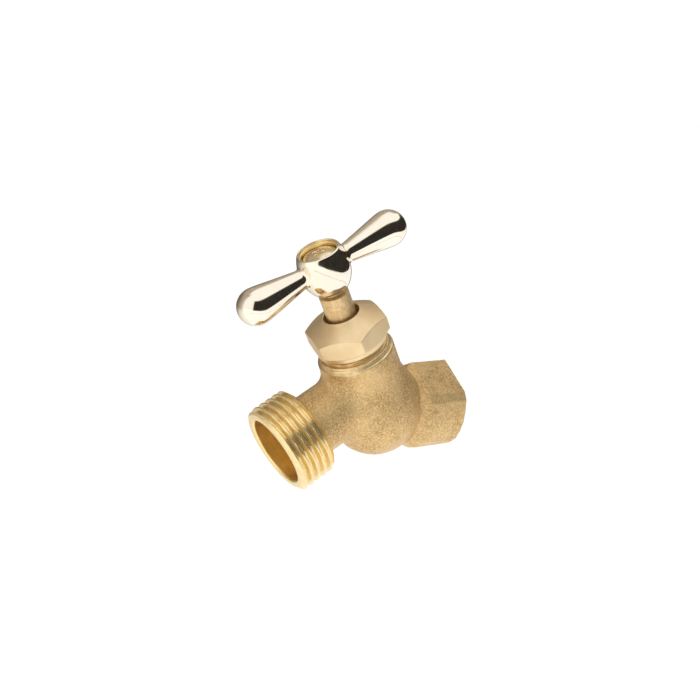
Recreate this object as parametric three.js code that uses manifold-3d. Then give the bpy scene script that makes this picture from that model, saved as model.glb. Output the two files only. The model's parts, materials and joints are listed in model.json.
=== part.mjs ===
// A brass hose bib of the angled, no-kink pattern: a female pipe inlet, a globe-type seat and a garden-hose
// outlet.
// Millimetres, +Z up. The origin is the centre of the inlet's end face, and the pipe lies towards +Y.
// The valve body's mirror plane is X = 0. The stem leans forward, and the outlet is square to it.
import * as THREE from "three";
import { mergeVertices } from "three/addons/utils/BufferGeometryUtils.js";
import Module from "manifold-3d";

const wasm = await Module();
wasm.setup();

// ---- Driving dimensions --------------------------------------------------------------------------
const INCH = 25.4;
const DEG = Math.PI / 180;
const SMOOTH = 32; // sides of the large round surfaces
const FINE = 24; // sides of the small ones
const HIDDEN = 16; // sides of the threads that lie inside another piece
const GAP = 0.3; // running or seating gap between two pieces

const STEM_LEAN = 30 * DEG; // from vertical, towards the outlet
const STEM_Y = -25.1; // where the stem's axis meets the inlet's axis
const OUTLET_UP_STEM = 8.4; // how far up the stem's axis the outlet's axis crosses it

// Inlet: a hexagon with a ridge on top, over a round barrel
const HEX_FLATS = 23.6;
const HEX_LENGTH = 14.4;
const HEX_RAMP = 2.4; // length of the sloped end of the hexagon
const BARREL_R = 13.0;
const BARREL_TOP_Z = 4.4; // the round barrel stops at this height, and the hexagon shows above it
const WAIST_R = 11.2; // round part between the hexagon and the ball
const PIPE_PITCH = INCH / 14;
const PIPE_MOUTH_R = 10.3; // crest radius of a half-inch taper pipe thread at the mouth
const PIPE_DEPTH_OF_THREAD = 1.1;
const PIPE_TAPER = 1 / 32; // radius lost per millimetre of depth
const PIPE_LENGTH = 12.6;
const INLET_PORT_R = 5.4;

// Bulb and neck, measured along the stem's axis from where it meets the inlet's axis
const BULB_R = 14.5;
const BULB_HALF_WIDTH = 13.0; // the bulb is narrower across the mirror plane
const BULB_AT = 0.5;
const NECK_R = 11.4;
const NECK_TOP = 20.9;
const NECK_BEVEL = 0.9; // the bevel's drop in radius
const NECK_BEVEL_RISE = 2.2;
const BONNET_PITCH = INCH / 20;
const BONNET_CREST_R = 9.7;
const BONNET_ROOT_R = 8.95;
const BONNET_TOP = 29.6;

// Seat and chambers
const SEAT_TOP = 4.2;
const PORT_R = 4.2;
const SEAT_OUTER_R = 5.3;
const FLOOR_AT = 2.4; // top of the web that carries the seat
const WEB_THICKNESS = 3.0;
const CHAMBER_R = 8.8;
const CHAMBER_TOP = 12.6;
const LOWER_CHAMBER_R = 7.8;
const LOWER_CHAMBER_AT = -3.6;
const DIP_AT = -5.8; // where the inlet's passage reaches the stem's axis

// Stem thread: ten to the inch, trapezoidal, and two and a half turns from shut to open
const STEM_PITCH = INCH / 10;
const STEM_CREST_R = 6.6;
const STEM_ROOT_R = 5.75;
const STEM_THREAD_FROM = 9.9;
const STEM_THREAD_TO = 18.3;
const NUT_THREAD_FROM = 14.6; // the body's own internal thread
const NUT_THREAD_TO = 24.8;
const SHANK_R = 4.35;
const SHANK_TOP = 42.2;
const TANG_FLATS = 6.2;
const TANG_TOP = 51.8;
const HOLDER_R = 5.85;

// Outlet, measured along its own axis from where it crosses the stem's axis
const BRANCH_R = 9.3;
const OUTLET_END = 34.4;
const HOSE_PITCH = INCH / 11.5;
const HOSE_CREST_R = (1.0625 * INCH) / 2;
const HOSE_ROOT_R = 12.1;
const HOSE_FROM = 23.4;
const HOSE_BORE_R = 10.2;
const HOSE_BORE_FLOOR = 24.8;
const OUTLET_PORT_R = 6.3;

// Packing nut
const NUT_FLATS = 21.3;
const NUT_BOTTOM = 24.7;
const NUT_HOLE_R = 5.25;
const NUT_TOP = 35.0;
const NUT_CONE = 0.58; // drop of the top cone per millimetre of radius
const NUT_CEILING = 30.5;
const NUT_POCKET_R = 7.6;
const NUT_POCKET_TOP = 31.3;
const NUT_TURN = 15 * DEG; // how far the nut stands round from square

// Packing set
const PACKING_INNER_R = 4.7;
const PACKING_OUTER_R = 7.2;
const PACKING_BORE_R = 7.5;

// Handle
const HANDLE_AT = 50.5;
const HANDLE_TURN = -3.5 * DEG;
const HUB_R = 7.35;
const HUB_BOTTOM = 43.2;
const HUB_TOP = 55.8;
const HUB_RIM_R = 6.0;
const RECESS_R = 5.1;
const RECESS_FLOOR = 53.0;
const SOCKET_TOP = 52.1;
const ARM_HALF = 27.3;
const ARM_TIP_R = 5.3;
const ARM_ROOT_R = 3.0;

// Screws
const SCREW_R = 2.0;
const SCREW_ROOT_R = 1.6;
const SCREW_PITCH = INCH / 20;
const SCREW_HOLE_R = 2.3;

// ---- Axes ----------------------------------------------------------------------------------------
const stemFrame = new THREE.Matrix4()
  .makeTranslation(0, STEM_Y, 0)
  .multiply(new THREE.Matrix4().makeRotationX(STEM_LEAN));
const outletFrame = stemFrame
  .clone()
  .multiply(new THREE.Matrix4().makeTranslation(0, 0, OUTLET_UP_STEM))
  .multiply(new THREE.Matrix4().makeRotationX(Math.PI / 2));
const inletFrame = new THREE.Matrix4().makeRotationX(-Math.PI / 2);

// ---- Making solids -------------------------------------------------------------------------------
// A closed three.js geometry as a solid, in the frame that the matrix gives.
function solid(geometry, frame) {
  const bare = geometry.clone();
  bare.deleteAttribute("normal");
  bare.deleteAttribute("uv");
  if (frame) bare.applyMatrix4(frame);
  const merged = mergeVertices(bare, 1e-4);
  const index = merged.index.array;
  const kept = [];
  for (let i = 0; i < index.length; i += 3) {
    const [a, b, c] = index.slice(i, i + 3);
    if (a !== b && b !== c && c !== a) kept.push(a, b, c);
  }
  const build = (triangles) =>
    new wasm.Manifold(
      new wasm.Mesh({
        numProp: 3,
        vertProperties: merged.attributes.position.array,
        triVerts: new Uint32Array(triangles),
      }),
    );
  const made = build(kept);
  return made.volume() > 0 ? made : build(kept.reverse());
}

// A round solid about Z from [radius, height] points that start and end on the axis or close on themselves.
function turned(points, sides = SMOOTH, frame = null) {
  const profile = points.map(([r, z]) => new THREE.Vector2(r, z));
  return solid(new THREE.LatheGeometry(profile, sides).rotateX(Math.PI / 2), frame);
}

function rod(radius, from, to, sides = SMOOTH, frame = null) {
  return turned([[0, from], [radius, from], [radius, to], [0, to]], sides, frame);
}

function ring(inner, outer, from, to, sides = FINE) {
  return turned([[inner, from], [outer, from], [outer, to], [inner, to], [inner, from]], sides);
}

// Points on an arc about [r, z], from one angle to another, for a turned profile.
function arc([r, z], radius, fromDeg, toDeg, steps) {
  return Array.from({ length: steps + 1 }, (_, i) => {
    const angle = (fromDeg + ((toDeg - fromDeg) * i) / steps) * DEG;
    return [Math.max(0, r + radius * Math.cos(angle)), z + radius * Math.sin(angle)];
  });
}

// A regular prism about Z, standing on `from`, whose first corner is at `turn` from -Y.
function prism(flats, corners, from, to, turn = 0, frame = null) {
  const radius = flats / 2 / Math.cos(Math.PI / corners);
  const geometry = new THREE.CylinderGeometry(radius, radius, to - from, corners)
    .rotateX(Math.PI / 2)
    .rotateZ(turn)
    .translate(0, 0, (from + to) / 2);
  return solid(geometry, frame);
}

// A right-hand threaded rod about Z, a pitch too long at each end, to be trimmed by what it is joined to.
// Every thread has a crest at angle 0 at each whole pitch, so a thread and its mate are in step.
function threadedRod({ pitch, crest, root, crestWidth, flank, from, to, taper = 0, sides = FINE }) {
  const outline = [
    [-crestWidth / 2 - flank, root],
    [-crestWidth / 2, crest],
    [crestWidth / 2, crest],
    [crestWidth / 2 + flank, root],
    [pitch - crestWidth / 2 - flank, root],
  ];
  const firstTurn = Math.floor(from / pitch) - 1;
  const turns = Math.ceil(to / pitch) + 1 - firstTurn;
  const strip = [];
  const at = (step, k) => {
    const angle = (step / sides) * 2 * Math.PI;
    const z = (firstTurn + step / sides) * pitch + outline[k][0];
    const r = outline[k][1] + taper * z;
    return [r * Math.cos(angle), r * Math.sin(angle), z];
  };
  const bottom = [0, 0, firstTurn * pitch - pitch];
  const top = [0, 0, (firstTurn + turns) * pitch + 2 * pitch];
  const last = outline.length - 1;
  const end = turns * sides;
  for (let step = 0; step < end; step++) {
    for (let k = 0; k < last; k++) {
      const [a, b, c, d] = [at(step, k), at(step + 1, k), at(step + 1, k + 1), at(step, k + 1)];
      strip.push(a, b, c, a, c, d);
    }
    if (step < sides) strip.push(bottom, at(step + 1, 0), at(step, 0));
    if (step >= end - sides) strip.push(top, at(step, last), at(step + 1, last));
  }
  for (let k = 0; k < last; k++) {
    strip.push(bottom, at(0, k), at(0, k + 1));
    strip.push(top, at(end, k + 1), at(end, k));
  }
  const geometry = new THREE.BufferGeometry();
  geometry.setAttribute("position", new THREE.Float32BufferAttribute(strip.flat(), 3));
  return solid(geometry);
}

function placed(made, frame) {
  return made.transform(frame.elements);
}

// ---- Valve body ----------------------------------------------------------------------------------
function bodyOutside() {
  const narrowed = stemFrame
    .clone()
    .multiply(new THREE.Matrix4().makeScale(BULB_HALF_WIDTH / BULB_R, 1, 1));
  const bulb = turned([...arc([0, BULB_AT], BULB_R, -90, 45, 12), [0, BULB_AT + 10]], SMOOTH, narrowed);
  const neck = turned(
    [
      [0, BULB_AT],
      [NECK_R, BULB_AT],
      [NECK_R, NECK_TOP],
      [NECK_R - NECK_BEVEL, NECK_TOP + NECK_BEVEL_RISE],
      [0, NECK_TOP + NECK_BEVEL_RISE],
    ],
    SMOOTH,
    stemFrame,
  );
  const neckThread = threadedRod({
    pitch: BONNET_PITCH,
    crest: BONNET_CREST_R,
    root: BONNET_ROOT_R,
    crestWidth: 0.2,
    flank: 0.42,
    from: NECK_TOP + 1,
    to: BONNET_TOP - 0.8,
    sides: HIDDEN,
  }).intersect(
    turned(
      [
        [0, NECK_TOP + 1],
        [BONNET_CREST_R + 1, NECK_TOP + 1],
        [BONNET_CREST_R + 1, BONNET_TOP - 1.6],
        [BONNET_ROOT_R - 0.2, BONNET_TOP],
        [0, BONNET_TOP],
      ],
      HIDDEN,
    ),
  );
  // The branch flares where it leaves the neck, as a cast fillet does.
  const flare = arc([BRANCH_R + 3.2, 15.2], 3.2, 232, 180, 4);
  const branch = turned(
    [
      [0, 0],
      [flare[0][0], 0],
      ...flare,
      [BRANCH_R, HOSE_FROM - 1.6],
      [HOSE_ROOT_R, HOSE_FROM],
      [HOSE_ROOT_R, HOSE_FROM + 1],
      [0, HOSE_FROM + 1],
    ],
    SMOOTH,
    outletFrame,
  );
  const hoseThread = threadedRod({
    pitch: HOSE_PITCH,
    crest: HOSE_CREST_R,
    root: HOSE_ROOT_R,
    crestWidth: 0.42,
    flank: 0.72,
    from: HOSE_FROM,
    to: OUTLET_END,
    sides: SMOOTH,
  }).intersect(
    turned([
      [0, HOSE_FROM - 0.6],
      [HOSE_ROOT_R - 0.4, HOSE_FROM - 0.6],
      [HOSE_CREST_R + 0.1, HOSE_FROM + 0.9],
      [HOSE_CREST_R + 0.1, OUTLET_END - 0.8],
      [HOSE_ROOT_R + 0.4, OUTLET_END],
      [0, OUTLET_END],
    ]),
  );
  return bulb
    .add(neck)
    .add(placed(neckThread, stemFrame))
    .add(branch)
    .add(placed(hoseThread, outletFrame))
    .add(inletOutside());
}

function inletOutside() {
  const below = (z) =>
    solid(new THREE.BoxGeometry(60, 60, 60).translate(0, 0, z - 30));
  const end = turned(
    [
      [0, -60],
      [40, -60],
      [BARREL_R + 1.2, -1.4],
      [BARREL_R - 0.6, 0],
      [0, 0],
    ],
    SMOOTH,
    inletFrame,
  );
  const barrel = rod(BARREL_R, STEM_Y + 1, 0, SMOOTH, inletFrame).intersect(below(BARREL_TOP_Z));
  const waist = rod(WAIST_R, STEM_Y, -HEX_LENGTH, SMOOTH, inletFrame);
  // The hexagon, and a shorter, smaller one behind it that makes the sloped end.
  const corner = HEX_FLATS / 2 / Math.cos(Math.PI / 6);
  const cornerAtFoot = corner - 1.9;
  const slope = new THREE.CylinderGeometry(corner, cornerAtFoot, HEX_RAMP, 6).translate(
    0,
    -HEX_LENGTH - HEX_RAMP / 2,
    0,
  );
  const hexagon = new THREE.CylinderGeometry(corner, corner, HEX_LENGTH, 6).translate(
    0,
    -HEX_LENGTH / 2,
    0,
  );
  const hexes = solid(hexagon).add(solid(slope)).subtract(below(0));
  return hexes.add(barrel).intersect(end).add(waist);
}

function bodyInside() {
  const pipeThread = threadedRod({
    pitch: PIPE_PITCH,
    crest: PIPE_MOUTH_R,
    root: PIPE_MOUTH_R - PIPE_DEPTH_OF_THREAD,
    crestWidth: 0.3,
    flank: 0.66,
    from: -PIPE_LENGTH,
    to: 1,
    taper: PIPE_TAPER,
    sides: 20,
  }).intersect(rod(PIPE_MOUTH_R + 1, -PIPE_LENGTH, 1, 20));
  const mouth = turned(
    [
      [0, -1.3],
      [PIPE_MOUTH_R - 0.9, -1.3],
      [PIPE_MOUTH_R + 0.8, 0.4],
      [0, 0.4],
    ],
    FINE,
  );
  const pipeEnd = turned(
    [
      [0, -PIPE_LENGTH - 3],
      [INLET_PORT_R, -PIPE_LENGTH - 3],
      [8.6, -PIPE_LENGTH + 0.1],
      [0, -PIPE_LENGTH + 0.1],
    ],
    FINE,
  );
  const inlet = placed(pipeThread.add(mouth).add(pipeEnd), inletFrame);

  // The inlet dips under the web and comes up through the port.
  const start = new THREE.Vector3(0, -PIPE_LENGTH + 1, -1.2);
  const finish = new THREE.Vector3(0, 0, DIP_AT).applyMatrix4(stemFrame);
  const dipGeometry = new THREE.ExtrudeGeometry(
    new THREE.Shape().absarc(0, 0, INLET_PORT_R, 0, 2 * Math.PI, false),
    {
      steps: 1,
      curveSegments: FINE / 2,
      bevelEnabled: false,
      extrudePath: new THREE.LineCurve3(start, finish),
    },
  );
  const underWeb = rod(40, -60, FLOOR_AT - WEB_THICKNESS, FINE, stemFrame);
  const lowerChamber = turned(
    arc([0, LOWER_CHAMBER_AT], LOWER_CHAMBER_R, -90, 90, 10),
    FINE,
    stemFrame,
  );
  const low = lowerChamber.intersect(underWeb).add(solid(dipGeometry));
  const port = rod(PORT_R, LOWER_CHAMBER_AT, SEAT_TOP + 1, FINE, stemFrame);

  const chamber = turned(
    [
      [0, SEAT_TOP],
      [SEAT_OUTER_R - 0.4, SEAT_TOP],
      [SEAT_OUTER_R, FLOOR_AT],
      [CHAMBER_R, FLOOR_AT],
      [CHAMBER_R, CHAMBER_TOP],
      [STEM_CREST_R + GAP, NUT_THREAD_FROM],
      [0, NUT_THREAD_FROM],
    ],
    FINE,
    stemFrame,
  );
  const stemThread = threadedRod({
    pitch: STEM_PITCH,
    crest: STEM_CREST_R + GAP,
    root: STEM_ROOT_R + GAP,
    crestWidth: 1.25,
    flank: 0.24,
    from: NUT_THREAD_FROM,
    to: NUT_THREAD_TO,
    sides: HIDDEN,
  }).intersect(rod(STEM_CREST_R + 1, NUT_THREAD_FROM - 0.5, NUT_THREAD_TO + 0.5, HIDDEN));
  const packingBore = rod(PACKING_BORE_R, NUT_THREAD_TO, BONNET_TOP + 1, FINE, stemFrame);

  const outletPort = rod(OUTLET_PORT_R, SEAT_OUTER_R + 0.8, HOSE_BORE_FLOOR, FINE, outletFrame);
  const hoseBore = turned(
    [
      [0, HOSE_BORE_FLOOR - 1.8],
      [OUTLET_PORT_R, HOSE_BORE_FLOOR - 1.8],
      [HOSE_BORE_R, HOSE_BORE_FLOOR],
      [HOSE_BORE_R, OUTLET_END - 0.4],
      [HOSE_BORE_R + 0.9, OUTLET_END + 0.5],
      [0, OUTLET_END + 0.5],
    ],
    SMOOTH,
    outletFrame,
  );
  return inlet
    .add(low)
    .add(port)
    .add(chamber)
    .add(placed(stemThread, stemFrame))
    .add(packingBore)
    .add(outletPort)
    .add(hoseBore);
}

// ---- Pieces on the stem's axis -------------------------------------------------------------------
function packingNut() {
  const cone = (r) => NUT_TOP - NUT_CONE * (r - NUT_HOLE_R);
  const corner = NUT_FLATS / 2 / Math.cos(Math.PI / 6);
  const envelope = turned([
    [0, NUT_BOTTOM],
    [NUT_FLATS / 2 - 0.4, NUT_BOTTOM],
    [NUT_FLATS / 2 - 0.15, NUT_BOTTOM + 1.3],
    [corner + 0.3, NUT_BOTTOM + 2.9],
    [corner + 0.3, cone(corner + 0.3)],
    [NUT_HOLE_R + 0.8, cone(NUT_HOLE_R + 0.8)],
    [NUT_HOLE_R + 0.3, NUT_TOP],
    [0, NUT_TOP],
  ]);
  const outside = prism(NUT_FLATS, 6, NUT_BOTTOM, NUT_TOP, NUT_TURN).intersect(envelope);
  const thread = threadedRod({
    pitch: BONNET_PITCH,
    crest: BONNET_CREST_R + GAP,
    root: BONNET_ROOT_R + GAP,
    crestWidth: 0.42,
    flank: 0.42,
    from: NUT_BOTTOM,
    to: NUT_CEILING,
    sides: HIDDEN,
  }).intersect(rod(BONNET_CREST_R + 1, NUT_BOTTOM - 1, NUT_CEILING, HIDDEN));
  const inside = turned([
    [0, NUT_BOTTOM - 1],
    [BONNET_CREST_R + 1.2, NUT_BOTTOM - 1],
    [BONNET_ROOT_R + 0.2, NUT_BOTTOM + 0.8],
    [NUT_POCKET_R, NUT_CEILING - 0.2],
    [NUT_POCKET_R, NUT_POCKET_TOP],
    [NUT_HOLE_R, NUT_POCKET_TOP],
    [NUT_HOLE_R, NUT_TOP + 1],
    [0, NUT_TOP + 1],
  ]);
  return outside.subtract(thread).subtract(inside);
}

function packingWasher() {
  return ring(PACKING_INNER_R + 0.1, PACKING_OUTER_R, 25.1, 26.1);
}

function packing() {
  // Bevelled above and below, where the washer and the gland squeeze it on to the stem.
  return turned(
    [
      [PACKING_INNER_R, 26.8],
      [5.6, 26.4],
      [PACKING_OUTER_R, 26.4],
      [PACKING_OUTER_R, 28.6],
      [5.6, 29.0],
      [PACKING_INNER_R, 28.4],
      [PACKING_INNER_R, 26.8],
    ],
    FINE,
  );
}

function gland() {
  return turned(
    [
      [PACKING_INNER_R + 0.1, 29.0],
      [5.5, 29.35],
      [PACKING_OUTER_R, 29.1],
      [PACKING_OUTER_R, 31.0],
      [PACKING_INNER_R + 0.1, 31.0],
      [PACKING_INNER_R + 0.1, 29.0],
    ],
    FINE,
  );
}

function stem() {
  const WASHER_POCKET = 7.6;
  const below = turned(
    [
      [0, WASHER_POCKET],
      [HOLDER_R - 0.4, WASHER_POCKET],
      [HOLDER_R - 0.3, WASHER_POCKET - 1.2],
      [HOLDER_R, WASHER_POCKET - 1.2],
      [HOLDER_R, WASHER_POCKET + 1.2],
      [STEM_ROOT_R - 0.7, STEM_THREAD_FROM - 0.4],
      [STEM_ROOT_R - 0.7, STEM_THREAD_FROM + 1],
      [0, STEM_THREAD_FROM + 1],
    ],
    FINE,
  );
  const thread = threadedRod({
    pitch: STEM_PITCH,
    crest: STEM_CREST_R,
    root: STEM_ROOT_R,
    crestWidth: 0.8,
    flank: 0.24,
    from: STEM_THREAD_FROM,
    to: STEM_THREAD_TO,
    sides: HIDDEN,
  }).intersect(
    turned(
      [
        [0, STEM_THREAD_FROM],
        [STEM_ROOT_R - 0.2, STEM_THREAD_FROM],
        [STEM_CREST_R + 0.1, STEM_THREAD_FROM + 1],
        [STEM_CREST_R + 0.1, STEM_THREAD_TO - 1],
        [STEM_ROOT_R - 0.2, STEM_THREAD_TO],
        [0, STEM_THREAD_TO],
      ],
      HIDDEN,
    ),
  );
  const shank = turned(
    [
      [0, STEM_THREAD_TO - 1],
      [SHANK_R, STEM_THREAD_TO - 1],
      [SHANK_R, SHANK_TOP - 0.5],
      [SHANK_R - 0.5, SHANK_TOP],
      [0, SHANK_TOP],
    ],
    FINE,
  );
  const tang = prism(TANG_FLATS, 4, SHANK_TOP - 0.5, TANG_TOP, Math.PI / 4 + HANDLE_TURN).intersect(
    turned([
      [0, SHANK_TOP - 1],
      [SHANK_R - 0.2, SHANK_TOP - 1],
      [SHANK_R - 0.2, TANG_TOP - 0.8],
      [TANG_FLATS / 2 - 0.2, TANG_TOP],
      [0, TANG_TOP],
    ]),
  );
  const topHole = rod(SCREW_HOLE_R, 43.4, TANG_TOP + 1, FINE / 2);
  const bottomHole = rod(SCREW_HOLE_R, 0, 15.4, FINE / 2);
  return below.add(thread).add(shank).add(tang).subtract(topHole).subtract(bottomHole);
}

function seatWasher() {
  return turned(
    [
      [SCREW_HOLE_R + 0.1, 4.5],
      [4.9, 4.5],
      [5.15, 4.8],
      [5.15, 7.3],
      [SCREW_HOLE_R + 0.1, 7.3],
      [SCREW_HOLE_R + 0.1, 4.5],
    ],
    FINE,
  );
}

// A screw whose shank runs up Z from `from` to `to`; the head is joined to it where it is made.
function screwShank(from, to) {
  const sides = 12;
  return threadedRod({
    pitch: SCREW_PITCH,
    crest: SCREW_R,
    root: SCREW_ROOT_R,
    crestWidth: 0.2,
    flank: 0.32,
    from,
    to,
    sides,
  }).intersect(rod(SCREW_R + 0.2, from, to, sides));
}

function washerScrew() {
  const HEAD_FROM = 2.3;
  const HEAD_TO = 4.2;
  const head = turned(
    [
      [0, HEAD_FROM],
      [1.6, HEAD_FROM],
      [2.6, HEAD_FROM + 0.6],
      [3.1, HEAD_TO],
      [0, HEAD_TO],
    ],
    FINE,
  );
  const slot = solid(new THREE.BoxGeometry(8, 0.8, 1.8).translate(0, 0, HEAD_FROM));
  return head.add(screwShank(HEAD_TO - 0.4, 12.6)).subtract(slot);
}

function handleScrew() {
  const HEAD_FROM = RECESS_FLOOR + GAP;
  const head = turned(
    [
      [0, HEAD_FROM],
      [4.0, HEAD_FROM],
      [4.15, HEAD_FROM + 0.7],
      [3.5, HEAD_FROM + 1.35],
      [2.0, HEAD_FROM + 1.75],
      [0, HEAD_FROM + 1.9],
    ],
    FINE,
  );
  const cross = [0, Math.PI / 2].map((turn) =>
    solid(
      new THREE.BoxGeometry(3.8, 0.9, 2.4)
        .translate(0, 0, HEAD_FROM + 1.9)
        .rotateZ(turn + 0.6),
    ),
  );
  return head.add(screwShank(46.0, HEAD_FROM + 0.4)).subtract(cross[0]).subtract(cross[1]);
}

function teeHandle() {
  // The hub is egg-shaped: one half-ellipse up to its widest ring, and a taller one above.
  const WIDEST = 49.9;
  const side = (z) => {
    const tall = z < WIDEST ? 9.4 : 10.4;
    return HUB_R * Math.sqrt(1 - ((z - WIDEST) / tall) ** 2);
  };
  const STEPS = 10;
  const hubSide = Array.from({ length: STEPS + 1 }, (_, i) => {
    const z = HUB_BOTTOM + ((HUB_TOP - 0.1 - HUB_BOTTOM) * i) / STEPS;
    return [side(z), z];
  });
  const hub = turned([[0, HUB_BOTTOM], ...hubSide, [HUB_RIM_R - 0.3, HUB_TOP], [0, HUB_TOP]]);
  const tip = arc([0, ARM_HALF - ARM_TIP_R], ARM_TIP_R, 8, 90, 6);
  const halfArm = [[ARM_ROOT_R, 6.5], [3.3, 10.5], [4.0, 15.2], ...tip];
  const spindle = [...halfArm.map(([r, z]) => [r, -z]).reverse(), ...halfArm];
  const arms = turned(spindle, FINE).rotate([-90, 0, HANDLE_TURN / DEG]).translate([0, 0, HANDLE_AT]);
  const recess = turned([
    [0, RECESS_FLOOR],
    [RECESS_R - 0.2, RECESS_FLOOR],
    [RECESS_R, RECESS_FLOOR + 1.6],
    [RECESS_R + 0.35, RECESS_FLOOR + 1.7],
    [RECESS_R + 0.35, HUB_TOP + 1],
    [0, HUB_TOP + 1],
  ]);
  const socket = prism(TANG_FLATS + 2 * GAP, 4, HUB_BOTTOM - 1, SOCKET_TOP, Math.PI / 4 + HANDLE_TURN);
  const screwHole = rod(SCREW_HOLE_R, SOCKET_TOP - 1, RECESS_FLOOR + 1, FINE / 2);
  return hub.add(arms).subtract(recess).subtract(socket).subtract(screwHole);
}

// ---- Materials -----------------------------------------------------------------------------------
const castBrass = new THREE.MeshStandardMaterial({ color: 0xc79f57, roughness: 0.55, metalness: 1 });
const turnedBrass = new THREE.MeshStandardMaterial({ color: 0xd8ae5c, roughness: 0.28, metalness: 1 });
const platedHandle = new THREE.MeshStandardMaterial({ color: 0xe8d4a0, roughness: 0.08, metalness: 1 });
const graphite = new THREE.MeshStandardMaterial({ color: 0x35353a, roughness: 0.7, metalness: 0 });
const rubber = new THREE.MeshStandardMaterial({ color: 0x1b1b1b, roughness: 0.8, metalness: 0 });
const zincScrew = new THREE.MeshStandardMaterial({ color: 0xdcc078, roughness: 0.2, metalness: 1 });

// ---- The assembly --------------------------------------------------------------------------------
function mesh(name, made, material) {
  const { vertProperties, triVerts } = made.getMesh();
  const geometry = new THREE.BufferGeometry();
  geometry.setAttribute("position", new THREE.BufferAttribute(vertProperties, 3));
  geometry.setIndex(new THREE.BufferAttribute(triVerts, 1));
  geometry.computeVertexNormals();
  const piece = new THREE.Mesh(geometry, material);
  piece.name = name;
  return piece;
}

const hoseBib = new THREE.Group();
hoseBib.add(mesh("valve_body", bodyOutside().subtract(bodyInside()), castBrass));

const onStem = new THREE.Group();
onStem.position.set(0, STEM_Y, 0);
onStem.rotation.x = STEM_LEAN;
onStem.add(
  mesh("stem", stem(), turnedBrass),
  mesh("packing_nut", packingNut(), turnedBrass),
  mesh("packing_washer", packingWasher(), turnedBrass),
  mesh("packing_ring", packing(), graphite),
  mesh("packing_gland", gland(), turnedBrass),
  mesh("seat_washer", seatWasher(), rubber),
  mesh("seat_washer_screw", washerScrew(), turnedBrass),
  mesh("tee_handle", teeHandle(), platedHandle),
  mesh("handle_screw", handleScrew(), zincScrew),
);
hoseBib.add(onStem);

export default hoseBib;
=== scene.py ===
# The looks of a brass hose bib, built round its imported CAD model.
import json
import math

import bmesh
import bpy
import numpy as np
from mathutils import Matrix, Vector


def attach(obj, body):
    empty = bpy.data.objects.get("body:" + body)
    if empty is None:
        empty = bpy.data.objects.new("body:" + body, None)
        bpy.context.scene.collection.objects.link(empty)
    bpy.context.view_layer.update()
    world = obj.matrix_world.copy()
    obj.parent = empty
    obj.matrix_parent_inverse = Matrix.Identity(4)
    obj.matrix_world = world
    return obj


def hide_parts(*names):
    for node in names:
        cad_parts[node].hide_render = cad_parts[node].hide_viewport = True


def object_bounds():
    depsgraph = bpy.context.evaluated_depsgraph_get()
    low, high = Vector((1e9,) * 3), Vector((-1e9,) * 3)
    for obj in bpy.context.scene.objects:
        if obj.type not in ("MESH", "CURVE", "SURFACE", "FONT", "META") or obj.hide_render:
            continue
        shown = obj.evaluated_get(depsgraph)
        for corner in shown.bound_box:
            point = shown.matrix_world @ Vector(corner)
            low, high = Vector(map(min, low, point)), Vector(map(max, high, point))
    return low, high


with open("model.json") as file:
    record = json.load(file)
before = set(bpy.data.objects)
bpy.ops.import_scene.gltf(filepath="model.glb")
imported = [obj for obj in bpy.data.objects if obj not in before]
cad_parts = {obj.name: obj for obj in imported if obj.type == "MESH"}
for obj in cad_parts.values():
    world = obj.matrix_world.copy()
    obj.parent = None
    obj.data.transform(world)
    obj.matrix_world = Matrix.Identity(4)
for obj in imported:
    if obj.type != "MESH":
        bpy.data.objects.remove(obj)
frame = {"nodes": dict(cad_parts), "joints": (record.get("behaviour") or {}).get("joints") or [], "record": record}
cad_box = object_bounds()

MM = 0.001
INCH = 25.4

# ---- Sizes in millimetres -----------------------------------------------------------------------
# Heights are measured up the stem's axis or out along the outlet's axis, and Y along the inlet's.
# A blend is how widely one form of the casting runs into the next.
OUTLET_UP_STEM = 8.4  # where the outlet's axis leaves the stem's

# Casting
BULB_R = 14.5
BULB_HALF_WIDTH = 13.0
BULB_AT = 0.5
NECK_R = 11.4
NECK_FROM = -4.0
NECK_TOP = 20.95
NECK_BLEND = 3.0
BRANCH_R = 9.3
BRANCH_LENGTH = 24.0
BRANCH_BLEND = 3.2
WAIST_R = 10.3
WAIST_Y = (-25.0, -13.0)
WAIST_BLEND = 1.2
HEX_LENGTH = 14.4
BOSS_BACK = 20.0
BOSS_BLEND = 0.5
BOSS_EASE = 0.2
BOSS_EDGE = 0.22
SPARE = 0.4  # what is left on a cast end for its cutter to take off
SAND_DEPTH = 0.03  # how deep the sand mould's grain stands in the casting
SAND_GRAINS = (0.85, 2.3)  # how wide the fine and the coarse grains are
CASTING_CELL = 0.32

# The neck's turned end: a collar with a scored bevel, and the thread that the nut is on
TURNED_NECK_FROM = 19.5
BEVEL_R = 10.78
BEVEL_FROM = NECK_TOP + 0.85
BEVEL_TOP_R = 10.5
BEVEL_TO = 22.9
SCORE_PITCH = 0.62
SCORE_WIDTH = 0.16
SCORE_DEPTH = 0.14
BONNET_PITCH = INCH / 20
BONNET_CREST_R = 9.95
BONNET_ROOT_R = 9.2
BONNET_TOP = 29.6

# Outlet
TURNED_OUTLET_FROM = 18.0
HOSE_PITCH = INCH / 11.5
HOSE_CREST_R = 1.0625 * INCH / 2
HOSE_ROOT_R = 12.1
HOSE_BACK = 21.8
OUTLET_END = 34.4
HOSE_BORE_R = 10.2
HOSE_BORE_FLOOR = 24.8
OUTLET_PORT_R = 6.3

# Inlet
PIPE_PITCH = INCH / 14
PIPE_MOUTH_R = 10.3
PIPE_THREAD_DEPTH = 1.1
PIPE_LENGTH = 12.6
PIPE_TAPER = 1 / 32  # radius lost for each millimetre of depth
INLET_PORT_R = 5.4
DRILL_R = 8.6
DRILL_POINT = 3.0

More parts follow.
